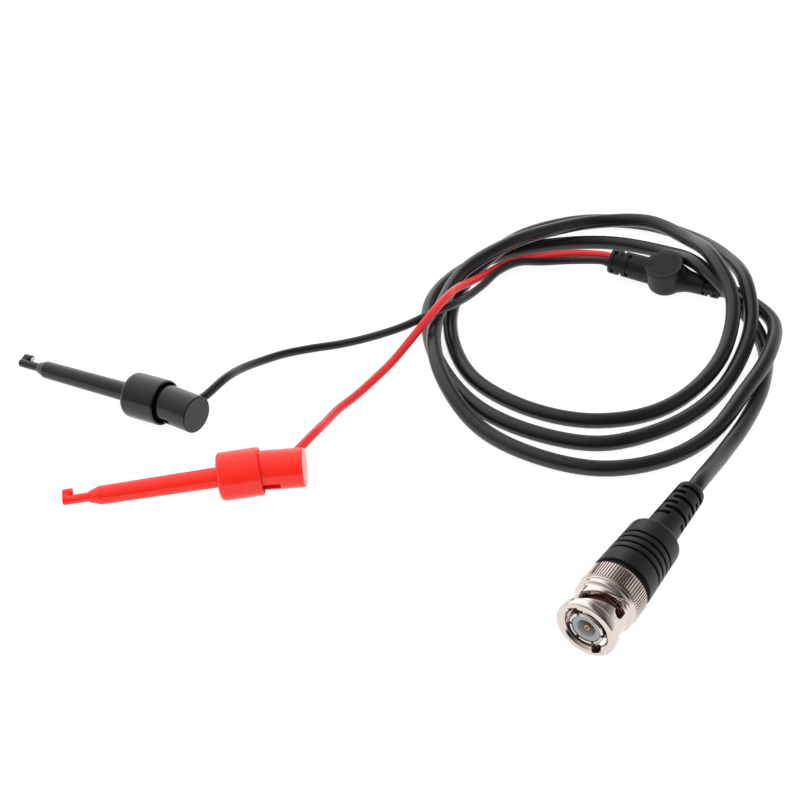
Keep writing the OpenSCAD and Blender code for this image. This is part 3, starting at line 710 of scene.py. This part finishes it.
# %% The knurl
KNURLS, KNURL_AT, KNURL_END = 72, 10, 14.5
shape = bmesh.new()
foot, top, slope = 0.3, 0.2, 0.15
corners = [
    (r, s * w, z)
    for r, w, inset in ((NUT_R - 0.5, foot, 0), (NUT_R - 0.12, top + 0.03, slope * 0.7),
                        (NUT_R, top - 0.08, slope))
    for s, z in ((-1, KNURL_AT + inset), (1, KNURL_AT + inset), (1, KNURL_END - inset),
                 (-1, KNURL_END - inset))
]
verts = [shape.verts.new((x * MM, y * MM, z * MM)) for x, y, z in corners]
for base in (0, 4):
    for i in range(4):
        j = (i + 1) % 4
        shape.faces.new((verts[base + i], verts[base + j], verts[base + 4 + j],
                         verts[base + 4 + i]))
shape.faces.new(verts[:4])
shape.faces.new(verts[8:])
knurl = repeated(new_piece("nut_knurl", shape), KNURLS, 360 / KNURLS, finish=NICKEL)
settle(knurl, PLUG, NICKEL, "coupling_nut", "nickel", sharp=25)

# %% [markdown]
# ## The contact, the insulator and the pin
# Inside the nut is a springy sleeve, slit six times so that it can grip the socket. A milky
# insulator fills it and opens in a funnel round the gold pin, whose end is drilled.

# %% The slit contact and its shank
SLITS, SLIT_W, SLIT_END, SLIT_TURN = 6, 0.75, 5.7, 25
contact = turned("slit_contact", [
    (3.42, 0.45, 0.05), (3.75, 0.35, 0.1), (4.05, 0.65, 0.1), (4.05, 5.5), (4.25, 5.5),
    (4.25, 7), (4.65, 7, 0.1), (4.65, 8.2, 0.1), (4.25, 8.2), (4.25, 10.88), (3.75, 10.88),
    (3.75, 11.52), (4.25, 11.52), (4.25, 13, 0.1), (5.2, 13, 0.15), (5.2, 14, 0.15), (2.6, 14),
    (2.6, 19, 0.1), (1.55, 19, 0.1), (1.55, 8), (3.42, 8),
], sides=144)
slit = block("slit", (2.5, -SLIT_W / 2, -1), (5.5, SLIT_W / 2, SLIT_END))
slit.data.transform(Matrix.Rotation(math.radians(SLIT_TURN), 4, "Z"))
combine(contact, [repeated(slit, SLITS, 360 / SLITS)], "DIFFERENCE")
settle(contact, PLUG, NICKEL, "lead", "nickel", "plug_body", sharp=40)

# %% The gasket, the insulator and the pin
gasket = turned("silicone_gasket", [(4.28, 5.6, 0.12), (4.6, 5.6, 0.12), (4.6, 6.98, 0.1),
                                    (4.28, 6.98, 0.1)])
settle(gasket, PLUG, SILICONE, "lead", "silicone", "gasket")
insulator = turned("funnel_insulator", [
    (0.895, 5.2), (1.35, 5.2, 0.1), (1.5, 4.6, 0.15), (2.1, 1, 0.2), (2.2, 0.75, 0.1),
    (2.4, 0.6, 0.08), (3.22, 0.6, 0.1), (3.4, 0.8, 0.1), (3.4, 7.95), (0.895, 7.95),
])
settle(insulator, PLUG, INSULATOR, "lead", "insulator", "insulator")
pin = turned("gold_pin", [
    (0, 2.4), (0.32, 2.4), (0.32, 0.9, 0.04), (0.525, 0.9, 0.08), (0.675, 1.1, 0.08),
    (0.675, 5), (0.875, 5), (0.875, 8.1), (0.95, 8.1, 0.05), (0.95, 11, 0.05), (0, 11),
], sides=64)
settle(pin, PLUG, GOLD, "lead", "gold", "centre_pin", sharp=40)

# %% [markdown]
# ## The overmould and its boot
# The black grip is moulded over the cable end. It swells slightly, has four rounded ring
# grooves for the fingers, and ends in a tapered boot. The boot's slots come in staggered pairs,
# each pair turned a quarter from the last, so that it can bend in every direction.


# %% The overmould
def strain_relief(first, count, rise, width, inner, outer, mid, half):
    """Cutters for a strain relief: pairs of arcs, each level a quarter turn from the last."""
    arc = arc_block("relief", first, width, inner, outer, mid, half)
    return repeated(repeated(arc, 2, 180), count, 90, rise)


def grooved(start, end, at, depth, width):
    """Outline points of ring grooves in a tapering wall from start to end, both (r, z)."""
    out = []
    for z in at:
        for dz, sunk, fillet in ((-width / 2, 0, 0.15), (-width / 3, 1, 0.1),
                                 (width / 3, 1, 0.1), (width / 2, 0, 0.15)):
            t = (z + dz - start[1]) / (end[1] - start[1])
            out.append((start[0] + (end[0] - start[0]) * t - sunk * depth, z + dz, fillet))
    return out


GROOVES = [20.8, 22.8, 24.8, 26.8]
overmould = turned("plug_grip", [
    (5.33, 15.2, 0.1), (6.3, 15.2, 0.1), (6.3, 16.15, 0.1), (6.95, 16.15, 0.1),
    (7.05, 16.4, 0.12), *grooved((7.05, 16.4), (6.35, 31.2), GROOVES, 0.8, 0.7),
    (6.35, 32.2, 1.0), (4.4, 32.2, 0.2), (4.15, 32.5, 0.2), (4.1, 33.2, 0.3), (3.45, 50.3, 0.4),
    (3.2, 50.9, 0.25), (2.75, 51.2, 0.2), (2.03, 51.2, 0.05), (2.03, 27.03), (4.33, 27.03),
    (5.33, 26.03),
])
slots = strain_relief(
    first=38, count=6, rise=2.1, width=1.1, inner=2.75, outer=6, mid=303, half=62)
combine(overmould, [slots], "DIFFERENCE")
broken_edges(overmould, 0.12)
settle(overmould, PLUG, SATIN_PVC, "lead", "black_pvc", "plug_overmould", sharp=40)

# %% [markdown]
# ## The splitter
# The splitter is one soft moulding. Its wide end takes the two leads side by side, its narrow
# end takes the coax, and a round pad stands across it where the joint is, rolled a little
# toward the viewer. The pad's top is a finely checkered disc for the thumb.

# %% Body and pad of the splitter
PAD_AT, PAD_ROLL, PAD_PITCH, PAD_R, PAD_H, PAD_TOP = 16.5, 15, 12, 5.5, 8.6, 4.6
CORE_R, CORE_FROM, CORE_TO, COAX_BORE_R, LEAD_BORE_R = 3.03, 7.57, 20.03, 2.03, 1.13
splitter = turned("splitter_body", [
    (0, 0), (3.25, 0, 0.2), (3.6, 0.4, 0.2), (3.75, 12), (3.75, 18.5, 0.8), (4.2, 20.5, 0.8),
    (3.15, 23, 0.8), (2.9, 25, 0.6), (2.7, 32.2, 0.2), (2.4, 32.7, 0.15), (0, 32.7),
])
pad = turned("pad", [
    (0, 0), (3, 0), (PAD_R, 0, 2.5), (PAD_R, PAD_H - 0.1, 0.3), (0, PAD_H - 0.1),
])
PAD = (
    Matrix.Translation((0, 0, PAD_AT * MM))
    @ Matrix.Rotation(math.radians(180 + PAD_ROLL), 4, "Z")
    @ Matrix.Rotation(math.radians(90 + PAD_PITCH), 4, "Y")
    @ Matrix.Translation((0, 0, (PAD_TOP - PAD_H) * MM))
)
pad.data.transform(PAD)
combine(splitter, [pad], "UNION")
cutters = [
    strain_relief(first=1.6, count=3, rise=2.1, width=1, inner=3.1, outer=6, mid=240, half=58),
    strain_relief(
        first=28.2, count=3, rise=1.6, width=0.85, inner=2.3, outer=6, mid=240, half=58),
    turned("core", [(0, CORE_FROM), (CORE_R, CORE_FROM), (CORE_R, CORE_TO), (0, CORE_TO)], 64),
    turned("throat", [(0, 19), (COAX_BORE_R, 19), (COAX_BORE_R, 40), (0, 40)], 64),
]
for side in (-1, 1):
    bore = turned("bore", [(0, -1), (LEAD_BORE_R, -1), (LEAD_BORE_R, 9), (0, 9)], 48)
    bore.data.transform(Matrix.Translation((0, side * LEAD_PITCH / 2 * MM, 0)))
    cutters.append(bore)
combine(splitter, cutters, "DIFFERENCE")
broken_edges(splitter, 0.12)
settle(splitter, SPLITTER, SATIN_PVC, "lead", "black_pvc", "splitter_housing", sharp=40)

# %% [markdown]
# The checkering is a grid of tiny pyramids, kept only where it falls inside the disc. The real
# grid is finer than half a millimetre, so it is drawn at a size that still shows.

# %% A geometry node tree for the checkered disc
disc_tree = bpy.data.node_groups.new("checkered_disc", "GeometryNodeTree")
disc_inputs = interface(disc_tree, {"Shape": "Geometry", "Radius": "Float", "Pitch": "Float",
                                    "Finish": "Material"})
given = add(disc_tree, "NodeGroupInput").outputs
side = add(disc_tree, "ShaderNodeMath", {0: given["Radius"], 1: 2.0}, operation="MULTIPLY")
cells = add(disc_tree, "ShaderNodeMath", {0: side.outputs[0], 1: given["Pitch"]},
            operation="DIVIDE")
grid = add(disc_tree, "GeometryNodeMeshGrid", {
    "Size X": side.outputs[0], "Size Y": side.outputs[0],
    "Vertices X": cells.outputs[0], "Vertices Y": cells.outputs[0]})
place = add(disc_tree, "GeometryNodeInputPosition")
reach = add(disc_tree, "ShaderNodeVectorMath", {0: place.outputs[0]}, operation="LENGTH")
inside = add(disc_tree, "ShaderNodeMath", {0: reach.outputs["Value"], 1: given["Radius"]},
             operation="LESS_THAN")
copies = add(disc_tree, "GeometryNodeInstanceOnPoints", {
    "Points": grid.outputs[0], "Selection": inside.outputs[0], "Instance": given["Shape"]})
real = add(disc_tree, "GeometryNodeRealizeInstances", {"Geometry": copies.outputs[0]})
paint_and_output(disc_tree, real.outputs[0], given["Finish"])

CHECK, CHECK_H, CHECK_DISC_R = 0.52, 0.17, 4.4
shape = bmesh.new()
half = CHECK * 0.46 * MM
bmesh.ops.create_cone(shape, cap_ends=True, segments=4, radius1=half * math.sqrt(2),
                      radius2=half * 0.6, depth=CHECK_H * MM)
bmesh.ops.rotate(shape, verts=shape.verts, matrix=Matrix.Rotation(math.pi / 4, 3, "Z"))
checkers = grown(new_piece("pad_checkering", shape), disc_tree, disc_inputs,
                 Radius=CHECK_DISC_R * MM, Pitch=CHECK * MM, Finish=THUMB_PAD)
checkers.data.transform(PAD @ Matrix.Translation((0, 0, (PAD_H - 0.13) * MM)))
settle(checkers, SPLITTER, THUMB_PAD, "lead", "black_pvc", sharp=25)

# %% [markdown]
# ## The hook clips
# Each clip has a slim barrel with a finger collar, a push button that plunges into the collar,
# and a coated steel hook that the button drives out of the barrel's nose. Both clips are the
# same mouldings in two colours, so one set of functions makes them.

# %% Barrel and button
BARREL = [
    (1.15, 6.8), (1.3, 6.8, 0.05), (1.4, 6.95, 0.06), (2.13, 9.1, 0.1), (2.25, 9.4, 0.15),
    (2.45, 37.4, 0.15), (5.8, 37.5, 1.4), (5.8, 47.4, 0.25), (5.65, 47.7, 0.1), (5.3, 47.7, 0.12),
    (5.3, 40, 0.2), (1.85, 40), (1.85, 12), (1.15, 12),
]
BUTTON_FRONT, BUTTON_R, BUTTON_END = 45.3, 4.75, 58
POCKET_R, POCKET_AT, POCKET_END = 2.6, 47.5, 56.8
SLOT_W, SLOT_END, HOLE_R = 1.8, 52.3, LEAD_D / 2 + 0.05
ROD_HOLE_R, ROD_HOLE_FROM, ROD_HOLE_TO = 0.55, 44.3, 49.3


def button(colour):
    """A push button, hollow for the terminal, with its leaning lead hole and its side slot."""
    piece = turned(f"{colour}_push_button", [
        (0, BUTTON_FRONT), (BUTTON_R, BUTTON_FRONT, 0.2), (BUTTON_R, BUTTON_END, 0.35),
        (0, BUTTON_END)])
    pocket = turned("pocket", [(0, POCKET_AT), (POCKET_R, POCKET_AT), (POCKET_R, POCKET_END),
                               (0, POCKET_END)], 64)
    hole = turned("hole", [(0, 2), (HOLE_R, 2), (HOLE_R, 10), (0, 10)], 48)
    roll = math.radians(HOLE_ROLL[colour])
    hole.data.transform(
        Matrix.Rotation(roll, 4, "Z")
        @ Matrix.Translation((0, 0, HOLE_FROM * MM))
        @ Matrix.Rotation(math.pi / 2 - HOLE_LEAN, 4, "Y")
    )
    slot = block("slot", (POCKET_R - 0.4, -SLOT_W / 2, BUTTON_FRONT + 1),
                 (6.2, SLOT_W / 2, SLOT_END))
    slot.data.transform(Matrix.Rotation(roll + math.pi, 4, "Z"))
    for shape in (piece, pocket, hole, slot):
        shape.data.transform(LEANING)
    rod_hole = turned("rod_hole", [(0, ROD_HOLE_FROM), (ROD_HOLE_R, ROD_HOLE_FROM),
                                   (ROD_HOLE_R, ROD_HOLE_TO), (0, ROD_HOLE_TO)], 32)
    combine(piece, [pocket, hole, slot, rod_hole], "DIFFERENCE")
    return broken_edges(piece, 0.1)


# %% The coated hook
HOOK_R, HOOK_FROM, HOOK_END = 1.1, 0.6, 11.8
NIB_R, NIB_X, NIB_END, BEND_END, BEND_W = 0.95, 1.9, 3, 2.2, 1.6
RECESS_R, RECESS_FROM, ROD_BORE_R, ROD_BORE_FROM = 0.57, NIB_END - 0.8, 0.52, BEND_END + 0.5
HOOK_ROLL = {"black": 105, "red": 110}


def hook(colour):
    """The square hook: a stem and a short nib side by side, with a recess for the bare metal."""
    piece = turned(f"{colour}_coated_hook", [
        (0, HOOK_FROM), (HOOK_R, HOOK_FROM, 0.25), (HOOK_R, HOOK_END), (0, HOOK_END)], 64)
    nib = turned("nib", [(0, HOOK_FROM), (NIB_R, HOOK_FROM, 0.25), (NIB_R, NIB_END, 0.15),
                         (0, NIB_END)], 64)
    nib.data.transform(Matrix.Translation((NIB_X * MM, 0, 0)))
    bend = block("bend", (0, -BEND_W / 2, HOOK_FROM), (NIB_X, BEND_W / 2, BEND_END))
    recess = turned("recess", [(0, RECESS_FROM), (RECESS_R, RECESS_FROM), (RECESS_R, 5), (0, 5)],
                    32)
    recess.data.transform(Matrix.Translation((NIB_X * MM, 0, 0)))
    bore = turned("bore", [(0, ROD_BORE_FROM), (ROD_BORE_R, ROD_BORE_FROM), (ROD_BORE_R, 20),
                           (0, 20)], 32)
    combine(piece, [nib, bend], "UNION")
    combine(piece, [recess, bore], "DIFFERENCE")
    broken_edges(piece, 0.08)
    piece.data.transform(Matrix.Rotation(math.radians(HOOK_ROLL[colour]), 4, "Z"))
    return piece


# %% [markdown]
# The coil spring sits round the rod, inside the barrel, where nothing shows it. It is drawn all
# the same as a real coil, because it is the part that makes the clip work. When the barrel is
# drawn back the real spring shortens toward the button; the coil here is drawn at one length.

# %% A geometry node tree for the coil spring
coil_tree = bpy.data.node_groups.new("coil_spring", "GeometryNodeTree")
coil_inputs = interface(coil_tree, {"Turns": "Float", "Radius": "Float", "Length": "Float",
                                    "Wire": "Float", "Finish": "Material"})
given = add(coil_tree, "NodeGroupInput").outputs
helix = add(coil_tree, "GeometryNodeCurveSpiral", {
    "Resolution": 24, "Rotations": given["Turns"], "Start Radius": given["Radius"],
    "End Radius": given["Radius"], "Height": given["Length"]})
section = add(coil_tree, "GeometryNodeCurvePrimitiveCircle", {"Resolution": 8,
                                                              "Radius": given["Wire"]})
wire = add(coil_tree, "GeometryNodeCurveToMesh", {
    "Curve": helix.outputs[0], "Profile Curve": section.outputs[0], "Fill Caps": True})
real = add(coil_tree, "GeometryNodeRealizeInstances", {"Geometry": wire.outputs[0]})
paint_and_output(coil_tree, real.outputs[0], given["Finish"])
SPRING_FROM, SPRING_TO, SPRING_R, WIRE_R, SPRING_TURNS = 12.05, 45.04, 1.2, 0.18, 27.0


def spring(colour):
    """A coil between the barrel's shoulder and the button."""
    empty = new_piece(f"{colour}_coil_spring", bmesh.new())
    piece = grown(
        empty, coil_tree, coil_inputs, Turns=SPRING_TURNS, Radius=SPRING_R * MM,
        Length=(SPRING_TO - SPRING_FROM - 2 * WIRE_R) * MM, Wire=WIRE_R * MM, Finish=STEEL)
    piece.data.transform(Matrix.Translation((0, 0, (SPRING_FROM + WIRE_R) * MM)))
    return piece


# %% Make both clips
for colour, clip in CLIPS.items():
    slot = f"gloss_{colour}"
    barrel = turned(f"{colour}_clip_barrel", BARREL)
    settle(barrel, clip, GLOSS[colour], f"{colour}_barrel", slot, f"{colour}_barrel", sharp=40)
    settle(button(colour), clip, GLOSS[colour], "lead", slot, f"{colour}_button", sharp=40)
    settle(hook(colour), clip, GLOSS[colour], "lead", slot, f"{colour}_hook", sharp=40)
    coil = settle(spring(colour), clip, STEEL, "lead", "steel", f"{colour}_spring")
    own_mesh(coil)

# %% [markdown]
# ## The pieces that stay as they are
# The remaining solids are inside the plug, the splitter and the clips, or are plain bars and
# sleeves whose measured form is already right. They only need their finish.

# %% Finishes of the measured solids that stay
KEPT = {
    NICKEL: ["crimp_ferrule"],
    STEEL: ["wave_washer", "retaining_ring", "black_rod", "red_rod", "black_hook_contact",
            "red_hook_contact"],
    NATURAL: ["plug_inner_mould", "splitter_core"],
    JACKET: ["coax_plug_end", "coax_splitter_end"],
    BLACK_LEAD: ["black_splice"],
    RED_LEAD: ["red_splice"],
    BRASS: ["black_terminal", "red_terminal"],
}
for finish, names in KEPT.items():
    for name in names:
        nodes[name].data.materials.clear()
        nodes[name].data.materials.append(finish)
for cord, finish in ((coax, JACKET), (leads["black"], BLACK_LEAD), (leads["red"], RED_LEAD)):
    cord.data.materials.clear()
    cord.data.materials.append(finish)
print("kept solids:", sum(len(names) for names in KEPT.values()))
